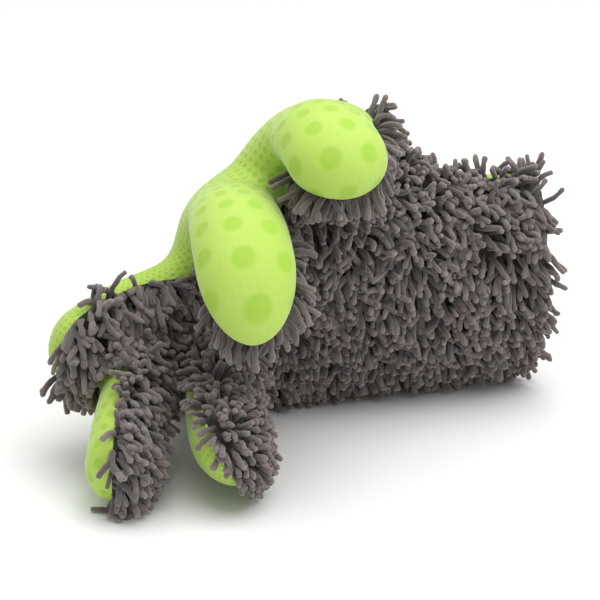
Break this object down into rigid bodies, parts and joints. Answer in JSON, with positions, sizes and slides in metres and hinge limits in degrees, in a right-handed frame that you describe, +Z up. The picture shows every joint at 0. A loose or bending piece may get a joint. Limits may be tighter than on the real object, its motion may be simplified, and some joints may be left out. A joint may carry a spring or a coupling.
{
  "type": "wash mitt",
  "caption": "Glove-shaped wash mitt with a chenille noodle palm and an air-mesh back, lined, with an elasticated bound cuff and hinged finger stalls.",
  "frame": {"origin": "middle of the rectangle of floor that the mitt covers as it lies, at floor height", "axes": "+X runs along the forearm towards the mouth of the cuff, -Y is the way the palm faces, +Z is up from the surface the mitt lies on"},
  "size_m": [0.2546, 0.1606, 0.1707],
  "materials": {
    "air_mesh": "matte knitted air mesh, lime green",
    "chenille": "matte microfibre chenille pile, warm dark grey",
    "lining": "matte knitted lining, charcoal",
    "binding": "folded woven tape, dark grey",
    "elastic": "woven elastic, off white",
    "label": "satin ribbon, blank"
  },
  "bodies": {
    "hand": {"back_mesh": "air_mesh", "palm_chenille": "chenille", "hand_lining": "lining", "cuff_binding": "binding", "cuff_elastic": "elastic", "care_label": "label"},
    "thumb": {"thumb_mesh": "air_mesh", "thumb_chenille": "chenille", "thumb_lining": "lining"},
    "index": {"index_mesh": "air_mesh", "index_chenille": "chenille", "index_lining": "lining"},
    "middle": {"middle_mesh": "air_mesh", "middle_chenille": "chenille", "middle_lining": "lining"},
    "ring": {"ring_mesh": "air_mesh", "ring_chenille": "chenille", "ring_lining": "lining"},
    "little": {"little_mesh": "air_mesh", "little_chenille": "chenille", "little_lining": "lining"}
  },
  "joints": [
    {"name": "thumb_root", "type": "hinge", "parent": "hand", "child": "thumb", "pos_m": [0.00334, 0.01355, 0.15211], "axis": [-0.9947, -0.096, 0.0373], "range_deg": [-5, 18]},
    {"name": "index_root", "type": "hinge", "parent": "hand", "child": "index", "pos_m": [-0.03666, 0.01155, 0.11611], "axis": [-0.9945, 0.0994, -0.0332], "range_deg": [-6, 18]},
    {"name": "middle_root", "type": "hinge", "parent": "hand", "child": "middle", "pos_m": [-0.05066, 0.03555, 0.07011], "axis": [-0.0108, 0.4659, -0.8848], "range_deg": [-1, 20]},
    {"name": "ring_root", "type": "hinge", "parent": "hand", "child": "ring", "pos_m": [-0.08466, 0.00355, 0.04311], "axis": [0.0546, 0.3561, -0.9328], "range_deg": [-7, 2]},
    {"name": "little_root", "type": "hinge", "parent": "hand", "child": "little", "pos_m": [-0.04866, -0.00845, 0.03611], "axis": [0.5362, 0.0982, -0.8383], "range_deg": [-12, 3]}
  ]
}
